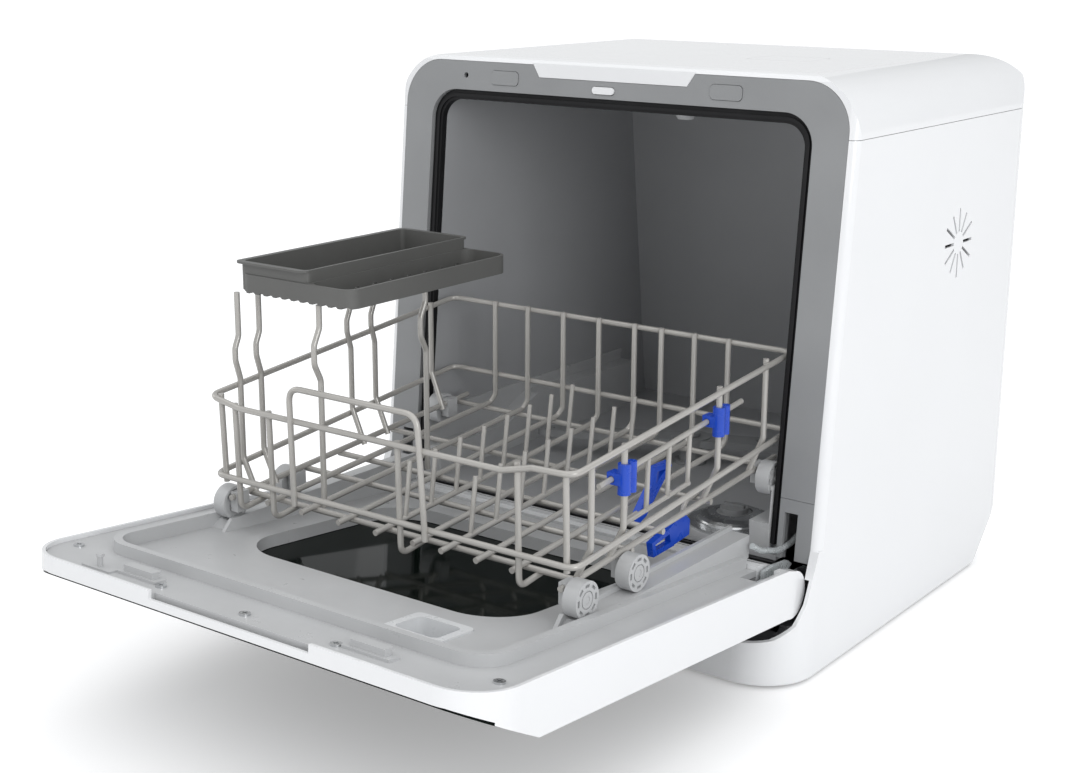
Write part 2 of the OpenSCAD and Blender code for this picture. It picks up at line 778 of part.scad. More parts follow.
module door_shell() {
  w = door_half;
  t = door_wall;
  color(white) on_door() difference() {
    intersection() {
      across(-w, w) door_side_2d();
      translate([0, 0, -30]) linear_extrude(60) door_plan_2d(0);
    }
    // hollow inside
    intersection() {
      across(-w + t, w - t) polygon([
        [-door_len + t, door_top + 5], [-door_len + t, door_top - band_h + 1],
        [-door_len + chamfer_d + t, door_low + glass_t + t], [-16, door_low + glass_t + t],
        [-16, door_top + 5]
      ]);
      translate([0, 0, -30]) linear_extrude(60) door_plan_2d(t);
    }
    across(-w + t, w - t) circle(r = barrel_r - t);
    // recess of the front glass
    intersection() {
      across(-w + 4, w - 4) polygon([
        [-door_len - 5, door_top - band_h + 3.3 - glass_t],
        [-door_len + 1, door_top - band_h + 0.6],
        [-door_len + chamfer_d + 1, door_low + glass_t + gap],
        [-16, door_low + glass_t + gap], [-16, -30], [-door_len - 5, -30]
      ]);
      translate([0, 0, -30]) linear_extrude(60) door_plan_2d(-3);
    }
    // grip notch in the front edge
    translate([-71, -door_len - 1, 14]) cube([142, 6, 10]);
    // openings for the hinge brackets
    for (s = [-1, 1]) {
      translate([s * (half - 23) - 7, -13, -20]) cube([14, 40, 45]);
      translate([s * (half - 23) - 7, -19, -12.5]) cube([14, 20, 40]);
    }
  }
}

module door_front_glass() {
  w = door_half - 4 - gap;
  color(dark) on_door() intersection() {
    across(-w, w) polygon([
      [-door_len + 1.2, door_top - band_h], [-door_len + chamfer_d + 1, door_low + glass_t],
      [-18, door_low + glass_t], [-18, door_low], [-door_len + chamfer_d, door_low],
      [-door_len + 1, door_top - band_h - 0.8]
    ]);
    translate([0, 0, -30]) linear_extrude(60) door_plan_2d(1);
  }
}

module rim_2d(g) {
  w = tub_half + 5 - g;
  y0 = -door_len + 42 + g;
  r = 26 - g;
  translate([-w, y0 + r]) square([2 * w, door_len - 42 - 18 - r - g]);
  translate([r - w, y0]) square([2 * (w - r), r + 1]);
  for (s = [-1, 1]) translate([s * (w - r), y0 + r]) circle(r = r);
}

module window_2d(g) {
  round_2d(-122 + g, -door_len + 122 + g, 122 - g, -62 - g, 40 - g);
}

module cup_2d(g) {
  round_2d(73 + g, -door_len + 67 + g, 114 - g, -door_len + 100 - g, 5);
}

module door_inner_panel() {
  w = door_half - door_wall - gap;
  color(light_grey) difference() {
    union() {
      on_door() difference() {
        union() {
          intersection() {
            translate([0, 0, panel_z - 4.5]) linear_extrude(4.5) door_plan_2d(door_wall + gap);
            translate([-w - 5, -door_len, 0]) cube([2 * w + 10, door_len - 16.4, 30]);
          }
          translate([0, 0, panel_z - 1]) linear_extrude(9.5) rim_2d(0);
          // skirt round the window
          translate([0, 0, 5.4]) linear_extrude(9) window_2d(-2);
        }
        // sunk floor inside the rim
        translate([0, 0, floor_in]) linear_extrude(20) rim_2d(6);
        translate([0, 0, -5]) linear_extrude(40) window_2d(0);
        translate([0, 0, -5]) linear_extrude(40) cup_2d(0);
        translate([-71.4, -door_len - 1, 0]) cube([142.8, 6.6, 30]);
      }
      // sloping tracks for the wheels
      settle() for (s = [0, 1]) mirror([s, 0, 0]) {
        across(track_in, tub_half - 0.4) polygon([
          [-233, door_z(-233, floor_in - 1)], [-225, track_z], [-18, track_z], [-18, barrel_top],
          [-32, barrel_top], [-32, door_z(-32, floor_in - 1)]
        ]);
        across(track_in - 3, track_in + 0.1) polygon([
          [-237, door_z(-237, floor_in - 1)], [-228, track_z + 3.4], [-18, track_z + 3.4],
          [-18, barrel_top], [-32, barrel_top], [-32, door_z(-32, floor_in - 1)]
        ]);
      }
    }
    // screw holes and latch seats
    on_door() {
      for (p = [[-186.5, 37], [186.5, 37], [-78, 16.5], [0, 16.5], [78, 16.5]])
        translate([p[0], -door_len + p[1], 0]) cylinder(r = 2.2, h = 30);
      for (s = [-1, 1]) translate([s * (half - 23) - 7, -40, 0]) cube([14, 60, 40]);
    }
  }
}

module door_window() {
  color([0.06, 0.09, 0.08]) on_door() translate([0, 0, 1]) linear_extrude(4) window_2d(-8);
}

module window_seal() {
  color(dark) on_door() translate([0, 0, 5]) linear_extrude(4) difference() {
    window_2d(-7);
    window_2d(-2.4);
  }
}

module detergent_cup() {
  color(light_grey) on_door() difference() {
    union() {
      translate([0, 0, -6]) linear_extrude(floor_in + 6.5) cup_2d(0.3);
      translate([0, 0, floor_in]) linear_extrude(1.2) cup_2d(-3);
    }
    translate([0, 0, -4]) linear_extrude(40) cup_2d(3);
  }
}

module latch_hooks() {
  color(grey) on_door() for (s = [-1, 1]) translate([s * 102, -door_len + 20.5, panel_z]) {
    translate([-19, -5, 0]) cube([38, 10, 2]);
    translate([-14, -3, 1.5]) cube([28, 6, 4.5]);
    translate([-14, -3, 4.5]) cube([28, 8, 2]);
  }
}

module door_post() {
  color(light_grey) on_door() translate([-137, -door_len + 15, panel_z]) {
    translate([-13, -5, 0]) cube([28, 10, 1.2]);
    cylinder(r = 2, h = 9);
    translate([0, 0, 8]) cylinder(r = 2.8, h = 2);
  }
}

module door_screws() {
  color(steel) on_door()
    for (p = [[-186.5, 37], [186.5, 37], [-78, 16.5], [0, 16.5], [78, 16.5]])
      translate([p[0], -door_len + p[1], panel_z]) difference() {
        union() {
          cylinder(r = 3.8, h = 1.4);
          translate([0, 0, -10]) cylinder(r = 1.9, h = 11);
        }
        for (a = [0, 90]) rotate([0, 0, a]) translate([-2.2, -0.4, 0.7]) cube([4.4, 0.8, 2]);
      }
}

// ---- basket ----

// the basket is drawn over tracks at track_ref and rides on the real ones
module riding() { settle() translate([0, 0, track_z - track_ref]) children(); }

function rail_z(y, z0, z1) = z0 + (z1 - z0) * (y + 232) / 278;

module basket_frame() {
  w = basket_half;
  y0 = -232;
  y1 = 46;
  lo = w - 12.5;
  weld = wire_r * 1.4;
  in = w - weld;
  color(taupe) riding() {
    // hooked wires that hold the blue handles
    pipe([[lever_x, -45, rail_z(-45, 131, 151)], [lever_x, -60, 143], [lever_x, -69, 128]], hook_r);
    wire([lever_2_x, -112, rail_z(-110, 131, 151)], [lever_2_x, -96, 141], hook_r);
    // top and middle rails
    pipe([[-w - 1, y0, 208], [-w + 30, y0, 203], [w - 56, y0, 203], [w - 32, y0, 209], [w + 1, y0, 210]]);
    wire([-w - 1, y0 + 2, 147], [w + 1, y0 + 2, 147]);
    for (z = [238, 178]) wire([-w - 1, y1, z - weld], [w + 1, y1, z - weld]);
    for (s = [-1, 1]) {
      wire([s * w, y0 - 2, 207 + s - 1], [s * w, y1 + 2, 238]);
      wire([s * w, y0, 150], [s * w, y1 + 2, 178]);
      // lower rail beside the wheels
      wire([s * lo, -228, 131], [s * lo, y1 + 2, 151.5]);
    }
    // side uprights, the left ones carry the cutlery tray
    for (y = [-208, -171, -53, 12]) {
      pipe([[lo - 3, y, rail_z(y, 128, 148.5)], [in, y, rail_z(y, 152, 180)], [in, y, rail_z(y, 209, 240)]]);
    }
    for (y = [-205, -184, -86, -58])
      pipe([[3 - lo, y, rail_z(y, 128, 148.5)], [-in, y, rail_z(y, 152, 180)], [-in, y, 216],
        [-in, y - 4, 230], [-in, y - 4, 239], [-in, y, 248], [-in, y, 280.4]]);
    pipe([[3 - lo, 12, rail_z(12, 128, 148.5)], [-in, 12, rail_z(12, 152, 180)], [-in, 12, rail_z(12, 209, 240)]]);
    // floor wires from side to side
    for (y = [-206, -148, -110, -47, 36])
      wire([-lo - 2, y, rail_z(y, 131, 151) - weld], [lo + 2, y, rail_z(y, 131, 151) - weld]);
    // floor wires from front to back, then up the back
    for (x = [post_x - 34, post_x, -48, -13, 21, 46, w - 86, w - 56]) {
      wire([x, -222, rail_z(-222, 131, 151)], [x, y1 + 2, rail_z(y1 + 2, 131, 151)]);
      wire([x + weld, y1 - weld, 148], [x + weld, y1 - weld, 238]);
    }
    // front uprights with hooked feet
    for (x = [post_x - 56, post_x - 22, 15, w - 46])
      pipe([[x, y0 + weld, x > 15 ? 210 : 205], [x, y0 + 5, 124], [x, y0 + 29, 127]]);
    for (s = [-1, 1]) wire([s * (w - 8), y0 + weld, 210], [s * (w - 8), y0 + 5, 143]);
    // handle arch
    pipe([[-79, y0 + 2 - weld, 141], [-79, y0 - weld, 222], [-73, y0 - weld, 228],
      [32, y0 - weld, 228], [38, y0 - weld, 222], [42, y0 + 2 - weld, 141]]);
    // plate tines
    for (x = [-13, 46], y = [-190, -162, -134, -106, -78, -50, -22, 6])
      wire([x, y, rail_z(y, 131, 151)], [x, y + 6, rail_z(y, 172, 192)], wire_r * 0.8);
    // inner posts under the cutlery tray
    for (y = [-201, -86])
      pipe([[post_x + weld, y, 131], [post_x + weld, y, 226], [post_x + weld, y - 6, 238],
        [post_x + weld, y - 6, 252], [post_x + weld, y, 264], [post_x + weld, y, 280.4]]);
  }
}

function rack_z(y) = 190 + (y + 190) / 10;

// pair of short tubes on an upright, parted in the middle for the folding rod
module clip_at(y, z) {
  w = basket_half;
  in = w - wire_r * 1.4;
  tube_r = 4.4;
  tube_h = 21;
  back = 10;
  difference() {
    union() {
      translate([in, y, z]) cylinder(r = tube_r, h = tube_h);
      translate([in - 1, y + back, z - 0.8]) cylinder(r = tube_r - 0.9, h = tube_h);
      translate([in - 2, y, z]) cube([3, back, tube_h]);
      // arm round the rod
      translate([w - 13.5, y - 5, z + tube_h / 2 - 4]) cube([11, 9, 8]);
    }
    wire([in, y, z - 10], [in, y, z + 40], wire_r + 0.05);
    wire([w - 10, y - 60, rack_z(y - 60)], [w - 10, y + 60, rack_z(y + 60)], 2.4);
    translate([in - 1, y + back, z - 9]) cylinder(r = 1.6, h = 40);
  }
}

// open handle in the plane of the basket side, x is its middle
module handle_2d() {
  difference() {
    union() {
      polygon([[-107, 124.5], [-104.5, 113.6], [-78, 114.8], [-78, 130.5], [-86, 129]]);
      polygon([[-82, 115], [-58, 117.5], [-57.5, 128.5], [-64, 134.5], [-74, 133.5], [-82, 130]]);
    }
    polygon([[-102.5, 122.3], [-101, 117.6], [-82.5, 118.6], [-84.5, 125.2]]);
  }
}

module tine_clips() {
  thick = 5;
  color(blue) riding() {
    clip_at(-171, rack_z(-171) - 10.5);
    clip_at(-53, rack_z(-53) - 10.5);
    difference() {
      across(lever_x - thick / 2, lever_x + thick / 2) handle_2d();
      wire([lever_x, -60, 143], [lever_x, -69, 128], hook_r + 0.05);
    }
    // handle standing up behind the plates
    difference() {
      across(lever_2_x - thick / 2, lever_2_x + thick / 2) difference() {
        polygon([[-105, 137], [-98, 134], [-90, 137], [-74, 152], [-58, 166], [-60, 170], [-80, 170], [-84, 158]]);
        polygon([[-79, 157], [-66, 165.5], [-77, 166]]);
      }
      wire([lever_2_x, -112, rail_z(-110, 131, 151)], [lever_2_x, -96, 141], hook_r + 0.05);
    }
  }
}

module cup_rack() {
  x = basket_half - 10;
  color(taupe) riding() {
    wire([x, -190, rack_z(-190)], [x, -10, rack_z(-10)], 2);
    for (y = [-158, -132, -106, -80]) wire([x, y, rail_z(y, 186, 214) - 1], [x - 1, y, rail_z(y, 148, 174)], 1.8);
    wire([x - 1, -160, rail_z(-160, 149, 175)], [x - 1, -78, rail_z(-78, 149, 175)], 1.8);
  }
}

module wheel_clip(s, y, z, stub) {
  x0 = wheel_x - wheel_w / 2 - 0.5;
  mirror([s > 0 ? 0 : 1, 0, 0]) {
    difference() {
      translate([x0 - 7, y - 6, z - 5]) cube([7, 12, 15]);
      wire([basket_half - 12.5, -228, 131], [basket_half - 12.5, 48, 151.5], wire_r + 0.06);
    }
    translate([x0 - 1, y, z]) rotate([0, 90, 0]) cylinder(r = axle_r, h = wheel_w + (stub ? 3.4 : 1.2));
  }
}

module wheel_clips() {
  color(light_grey) riding() for (s = [-1, 1]) {
    wheel_clip(s, front_wheel_y, wheel_z, false);
    wheel_clip(s, mid_wheel_y, wheel_z, false);
    wheel_clip(s, rear_wheel_y, rear_wheel_z, true);
  }
}

module wheel(s, y, z) {
  face = wheel_w / 2;
  slots = 8;
  color(light_grey) riding() translate([s * wheel_x, y, z]) rotate([0, s * 90, 0]) difference() {
    cylinder(r = wheel_r, h = wheel_w, center = true);
    cylinder(r = axle_r + 0.08, h = wheel_w + 2, center = true);
    // ring of slots in the outer face
    for (k = [0 : slots - 1]) rotate([0, 0, k * 360 / slots]) translate([wheel_r - 4.2, -2.3, face - 2])
      cube([2.1, 4.6, 4]);
    // groove round the hub
    translate([0, 0, face - 1]) difference() {
      cylinder(r = 6.2, h = 4);
      cylinder(r = 5.4, h = 9, center = true);
    }
    // shallow hollow in the inner face
    translate([0, 0, -face - 3]) difference() {
      cylinder(r = wheel_r - 2, h = 5);
      cylinder(r = 5, h = 12, center = true);
    }
  }
}

module wheel_front_left() { wheel(-1, front_wheel_y, wheel_z); }

module wheel_front_right() { wheel(1, front_wheel_y, wheel_z); }

module wheel_mid_left() { wheel(-1, mid_wheel_y, wheel_z); }

module wheel_mid_right() { wheel(1, mid_wheel_y, wheel_z); }

module wheel_rear_left() { wheel(-1, rear_wheel_y, rear_wheel_z); }

module wheel_rear_right() { wheel(1, rear_wheel_y, rear_wheel_z); }

module cutlery_tray() {
  x0 = post_x - 73;
  x1 = post_x + 36;
  y0 = -205;
  y1 = -25;
  z0 = 281;
  step_x = post_x - 5;
  high = tray_h + 9;
  wave = 9;
  color([0.44, 0.44, 0.43]) riding() difference() {
    union() {
      translate([0, 0, z0]) linear_extrude(tray_h) round_2d(x0, y0, x1, y1, 11);
      translate([0, 0, z0 + 2]) linear_extrude(high - 2) round_2d(x0 + 1, y0 + 1, step_x, y1 - 1, 5);
      // turned out rim of the high bay
      translate([0, 0, z0 + high - 1.6]) linear_extrude(1.6) round_2d(x0 - 2, y0 - 2, step_x, y1 + 2, 6);
    }
    // high bay and low bay
    translate([0, 0, z0 + 2.4]) linear_extrude(40) round_2d(x0 + 3, y0 + 3, step_x - 2, y1 - 3, 3.5);
    translate([0, 0, z0 + 2.4]) linear_extrude(40) round_2d(step_x + 1, y0 + 2, x1 - 2, y1 - 2, 9);
    // waves along the bottom
    for (i = [0 : 11]) translate([x0 + 5 + i * wave, y0 - 1, z0 - 2.4]) rotate([-90, 0, 0]) cylinder(r = 3.8, h = 190);
    // drain slots
    for (i = [0 : 8]) translate([x0 + 9, y0 + 11 + i * 19, z0 - 1]) cube([92, 5, 5]);
  }
}

// ---- drawing ----

top_cover();
side_panel_left();
side_panel_right();
rear_panel();
kick_panel();
base_pan();
feet();
front_frame();
hinge_cover_left();
hinge_cover_right();
latch_pads();
hinge_trough();
door_gasket();
tub();
tub_rails();
spray_hub();
filter_plate();
ceiling_nozzle();
circulation_pump();
drain_pump();
water_tank();
heater();
fan_housing();
control_board();
fill_funnel();
inlet_fitting();
drain_spigot();
power_inlet();
hinge_brackets();
hinge_pins();
hinge_springs();
spray_arm();
filter_cup();
fill_cap();
fan_rotor();
latch_plunger();
door_shell();
door_front_glass();
door_inner_panel();
door_window();
window_seal();
detergent_cup();
latch_hooks();
door_post();
door_screws();
hinge_arms();
basket_frame();
tine_clips();
wheel_clips();
cutlery_tray();
cup_rack();
wheel_front_left();
wheel_front_right();
wheel_mid_left();
wheel_mid_right();
wheel_rear_left();
wheel_rear_right();
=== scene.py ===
import bpy
import json
import math
from mathutils import Matrix, Vector


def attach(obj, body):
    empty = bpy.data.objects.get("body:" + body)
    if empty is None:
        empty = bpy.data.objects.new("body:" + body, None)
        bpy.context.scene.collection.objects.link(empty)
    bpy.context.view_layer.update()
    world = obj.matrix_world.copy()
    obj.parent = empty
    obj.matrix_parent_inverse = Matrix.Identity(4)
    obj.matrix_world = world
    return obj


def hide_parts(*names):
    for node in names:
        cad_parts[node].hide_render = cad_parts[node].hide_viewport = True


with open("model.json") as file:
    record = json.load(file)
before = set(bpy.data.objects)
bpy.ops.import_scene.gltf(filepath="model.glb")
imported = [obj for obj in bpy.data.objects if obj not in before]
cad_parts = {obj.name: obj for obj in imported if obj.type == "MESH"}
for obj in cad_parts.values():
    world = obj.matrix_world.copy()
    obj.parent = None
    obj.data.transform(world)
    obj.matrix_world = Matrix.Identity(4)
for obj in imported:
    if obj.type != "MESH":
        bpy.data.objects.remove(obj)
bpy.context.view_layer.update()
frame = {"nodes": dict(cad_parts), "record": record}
NODES = frame["nodes"]
MID_Y = 3.301             # y of the CAD layout, in mm, at the frame's origin


def at(x, y, z):
    """Point in metres from millimetres of the CAD layout."""
    return Vector((x / 1000, (y - MID_Y) / 1000, z / 1000))


# ---------------------------------------------------------------- materials

def new_material(name):
    mat = bpy.data.materials.new(name)
    mat.use_nodes = True
    mat.node_tree.nodes.clear()
    out = mat.node_tree.nodes.new("ShaderNodeOutputMaterial")
    return mat, mat.node_tree, out


def add(tree, kind, inputs=()):
    """A new shader node, with the inputs of a {name: value} table set."""
    made = tree.nodes.new("ShaderNode" + kind)
    for name, value in dict(inputs).items():
        made.inputs[name].default_value = value
    return made


def link(tree, *links):
    """Each link is (node, output, node, input)."""
    for source, output, target, socket in links:
        tree.links.new(source.outputs[output], target.inputs[socket])


def colour_ramp(tree, low, high, start=0.0, end=1.0):
    ramp = add(tree, "ValToRGB")
    for stop, position, colour in zip(ramp.color_ramp.elements, (start, end), (low, high)):
        stop.position = position
        stop.color = (*colour, 1)
    return ramp


def moulded(name, base, rough, spread, grain, bump, wear, scale=14.0, coat=0.0, metal=0.0, spec=0.5):
    """A surface with slow colour drift, patchy roughness and fine grain.

    spread is the share by which the colour drifts, wear is how far the roughness goes up and
    down, bump is the strength of the grain, and scale and grain are waves per metre.
    """
    mat, tree, out = new_material(name)
    coords = add(tree, "TexCoord")
    drift = add(tree, "TexNoise", {"Scale": scale, "Detail": 5})
    tint = colour_ramp(tree, [max(0.0, c * (1 - spread)) for c in base],
                       [min(1.0, c * (1 + spread)) for c in base], start=0.3, end=0.7)
    patches = add(tree, "TexNoise", {"Scale": scale * 3.1, "Detail": 8, "Roughness": 0.65})
    gloss = add(tree, "MapRange", {"From Min": 0.3, "From Max": 0.75,
                                   "To Min": max(0.02, rough - wear), "To Max": min(1.0, rough + wear)})
    fine = add(tree, "TexNoise", {"Scale": grain, "Detail": 3})
    relief = add(tree, "Bump", {"Strength": bump, "Distance": 0.0004})
    bsdf = add(tree, "BsdfPrincipled", {"Metallic": metal, "Coat Weight": coat, "Coat Roughness": 0.06,
                                        "Specular IOR Level": spec})
    link(tree,
         (coords, "Object", drift, "Vector"), (drift, "Fac", tint, "Fac"),
         (tint, "Color", bsdf, "Base Color"),
         (coords, "Object", patches, "Vector"), (patches, "Fac", gloss, "Value"),
         (gloss, "Result", bsdf, "Roughness"),
         (coords, "Object", fine, "Vector"), (fine, "Fac", relief, "Height"),
         (relief, "Normal", bsdf, "Normal"),
         (bsdf, "BSDF", out, "Surface"))
    return mat


def tinted_glass(name, tint, rough, scale=9):
    """Near-black glass whose tint and gloss drift together."""
    mat, tree, out = new_material(name)
    coords = add(tree, "TexCoord")
    drift = add(tree, "TexNoise", {"Scale": scale})
    ramp = colour_ramp(tree, [c * 0.7 for c in tint], tint)
    gloss = add(tree, "MapRange", {"To Min": rough, "To Max": rough + 0.05})
    bsdf = add(tree, "BsdfPrincipled", {"Specular IOR Level": 0.05})
    link(tree,
         (coords, "Object", drift, "Vector"), (drift, "Fac", ramp, "Fac"), (drift, "Fac", gloss, "Value"),
         (ramp, "Color", bsdf, "Base Color"), (gloss, "Result", bsdf, "Roughness"),
         (bsdf, "BSDF", out, "Surface"))
    return mat


MAT = {
    "white_shell": moulded("white_gloss", (0.83, 0.835, 0.845), rough=0.14, spread=0.012,
                           grain=300, bump=0.002, wear=0.03, scale=5, coat=0.6),
    "grey_moulding": moulded("grey_satin", (0.275, 0.28, 0.285), rough=0.42, spread=0.05,
                             grain=160, bump=0.003, wear=0.06),
    "pale_grey_moulding": moulded("pale_grey", (0.50, 0.505, 0.51), rough=0.34, spread=0.04,
                                  grain=160, bump=0.003, wear=0.08),
    "tub_lining": moulded("tub_lining", (0.42, 0.425, 0.435), rough=0.34, spread=0.05,
                          grain=160, bump=0.004, wear=0.06, scale=6, metal=0.1),
    "dark_plastic": moulded("dark_plastic", (0.018, 0.018, 0.020), rough=0.45, spread=0.15,
                            grain=400, bump=0.01, wear=0.10),
    "seal_rubber": moulded("seal_rubber", (0.008, 0.008, 0.009), rough=0.55, spread=0.2,
                           grain=400, bump=0.01, wear=0.12, spec=0.3),
    "dark_glass": tinted_glass("dark_glass", (0.003, 0.006, 0.0045), rough=0.03),
    "coated_wire": moulded("coated_wire", (0.46, 0.445, 0.42), rough=0.22, spread=0.04,
                           grain=400, bump=0.005, wear=0.05, scale=20, metal=0.25),
    "blue_plastic": moulded("blue_plastic", (0.004, 0.060, 0.50), rough=0.28, spread=0.08,
                            grain=200, bump=0.003, wear=0.06, coat=0.1),
    "tray_plastic": moulded("tray_plastic", (0.115, 0.115, 0.110), rough=0.45, spread=0.06,
                            grain=400, bump=0.01, wear=0.08),
    "bright_steel": moulded("bright_steel", (0.62, 0.63, 0.64), rough=0.24, spread=0.08,
                            grain=400, bump=0.008, wear=0.10, scale=40, metal=1.0),
    "pale_plastic": moulded("pale_plastic", (0.68, 0.69, 0.70), rough=0.3, spread=0.03,
                            grain=160, bump=0.003, wear=0.06),
    "zinc": moulded("zinc_plate", (0.62, 0.65, 0.66), rough=0.30, spread=0.10,
                    grain=200, bump=0.002, wear=0.10, scale=60, metal=0.45),
    "tank_plastic": moulded("tank_plastic", (0.62, 0.66, 0.70), rough=0.4, spread=0.05,
                            grain=600, bump=0.04, wear=0.08),
    "board_laminate": moulded("board_laminate", (0.02, 0.12, 0.06), rough=0.35, spread=0.12,
                              grain=900, bump=0.05, wear=0.06),
}

# pieces whose look differs from that of their slot
OWN_LOOK = {"hinge_arms": "zinc", "hinge_brackets": "zinc", "detergent_cup": "pale_plastic",
            "latch_hooks": "pale_grey_moulding"}

for sub in frame["record"]["subparts"]:
    name, slot = sub["node"], sub["material_slot"]
    NODES[name].data.materials.clear()
    NODES[name].data.materials.append(MAT[OWN_LOOK.get(name, slot)])

# ---------------------------------------------------------------- round wires
# Lengths are millimetres of the CAD layout. A run is (points, wire radius, bend radius).


def rounded(points, radius):
    """The same run with every bend turned into a small arc."""
    straight, step, longest = 0.02, 0.22, 0.45    # radians, radians, share of a leg
    if len(points) < 3:
        return points
    out = [points[0]]
    for a, b, c in zip(points, points[1:], points[2:]):
        back, ahead = a - b, c - b
        turn = math.pi - back.angle(ahead)
        if turn < straight:
            out.append(b)
            continue
        cut = min(radius * math.tan(turn / 2), longest * back.length, longest * ahead.length)
        p, q = b + back.normalized() * cut, b + ahead.normalized() * cut
        steps = max(3, int(turn / step))
        for i in range(steps + 1):
            s = i / steps
            out.append((1 - s) ** 2 * p + 2 * s * (1 - s) * b + s * s * q)
    out.append(points[-1])
    return out


def wires(name, runs, body, mat, node=None):
    """One piece of round wires that rides on body and may replace a CAD node."""
    curve = bpy.data.curves.new(name, "CURVE")
    curve.dimensions = "3D"
    curve.bevel_depth = 0.001                     # 1 mm, times each point's radius
    curve.bevel_resolution = 4
    curve.use_fill_caps = True
    for points, radius, bend in runs:
        line = rounded([at(*p) for p in points], bend / 1000)
        spline = curve.splines.new("POLY")
        spline.points.add(len(line) - 1)
        for point, place in zip(spline.points, line):
            point.co = (*place, 1)
            point.radius = radius
        spline.use_smooth = True
    drawn = bpy.data.objects.new(name, curve)
    bpy.context.scene.collection.objects.link(drawn)
    bpy.context.view_layer.update()
    mesh = bpy.data.meshes.new_from_object(drawn.evaluated_get(bpy.context.evaluated_depsgraph_get()))
    bpy.data.objects.remove(drawn)
    piece = bpy.data.objects.new(name, mesh)
    bpy.context.scene.collection.objects.link(piece)
    mesh.materials.append(mat)
    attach(piece, body)
    if node:
        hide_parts(node)


# ---------------------------------------------------------------- basket

SIDE_X = 162.0                # the rails, from the middle of the basket
FRONT_Y, BACK_Y = -232.0, 46.0
WIRE_R = 2.2
WELD = WIRE_R * 1.4           # between the middles of two wires welded together
INNER_X = SIDE_X - WELD       # the uprights, inside the rails
RUNNER_X = SIDE_X - 12.5      # the runners that the wheel clips sit on
THIN_R = 2.0                  # the hook wires and the rack's rod

# heights at the front and the back, since the basket climbs to the back
FOOT = (128, 148.5)           # ends of the uprights, under the runners
FLOOR = (131, 151)
KNEE = (152, 180)             # where the uprights turn up, at the middle rail
RIM = (209, 240)              # their other ends, at the top rail
TINE_TIP = (172, 192)
MIDDLE_FRONT_Z, MIDDLE_BACK_Z = 148, 178 - WELD
TOP_LEFT_Z, TOP_RIGHT_Z, TOP_DIP_Z = 208, 210, 203
TOP_BACK_Z = 238 - WELD
BACK_KNEE_Z, BACK_END_Z = 158, 238            # the floor wires' way up inside the back
RUNNER_FRONT, RUNNER_BACK = (-228, 131), (BACK_Y + 2, 151.5)      # (y, z)
POST_TOP_Z = 280.4            # under the cutlery tray

# where along the basket, y for what stands at its sides and x for the rest
RIGHT_UPRIGHTS = (-208, -171, -53, 12)
LEFT_POSTS, LEFT_UPRIGHT = (-205, -184, -86, -58), 12
INNER_POSTS_X, INNER_POSTS = -84 + WELD, (-201, -86)
CROSS_WIRES = (-206, -148, -110, -47, 36)
FLOOR_WIRES, FLOOR_START_Y = (-118, -84, -48, -13, 21, 46, 76, 106), -222
FRONT_UPRIGHTS = {-140: 205, -106: 205, 15: 205, 116: 210}        # x: height of its upper end
FRONT_KNEE_Z, FRONT_TOE_Z = 124, 127
CORNER_X, CORNER_FOOT_Z = SIDE_X - 8, 143
DIP_X = (-SIDE_X + 30, 106, 130)              # the top rail's front is down by, up from and up by
HOOP = ((-79, 2, 141), (-79, 0, 228), (38, 0, 228), (42, 2, 141))     # (x, back from the front, z)
TINE_ROWS, TINES, TINE_LEAN = (-13, 46), range(-190, 7, 28), 6

# tray posts: how far they step forward, and where they leave, are out, turn back and are home
LEFT_CRANK = 4, (216, 230, 239, 248)
INNER_CRANK = 6, (226, 238, 252, 264)
RAIL_BEND, POST_BEND, UPRIGHT_BEND, FRONT_BEND, HOOP_BEND = 9, 9, 8, 7, 11


def climb(y, heights):
    """Height at y between those at the front and the back of the basket."""
    front, back = heights
    return front + (back - front) * (y - FRONT_Y) / (BACK_Y - FRONT_Y)


def loop(front, back_z):
    """A rail round the basket in one wire, closed in the middle of its back."""
    start = (0, BACK_Y, back_z)
    return [start, (-SIDE_X, BACK_Y, back_z), *front, (SIDE_X, BACK_Y, back_z), start]


def side_upright(side, y, upper):
    """From under the runner out to the rails, and on over the upper points."""
    return [(side * (RUNNER_X - 3), y, climb(y, FOOT)), (side * INNER_X, y, climb(y, KNEE)), *upper]


def cranked(x, y, crank):
    """The upper part of a tray post, which steps forward and back again."""
    step, (leaves, out, back, home) = crank
    return [(x, y, leaves), (x, y - step, out), (x, y - step, back), (x, y, home), (x, y, POST_TOP_Z)]


# the hook wires of the two blue handles, each from a wire of the floor
HOOKS = [[(138, -45, climb(-45, FLOOR)), (138, -60, 143), (138, -69, 128)],
         [(122, -112, climb(-110, FLOOR)), (122, -96, 141)]]


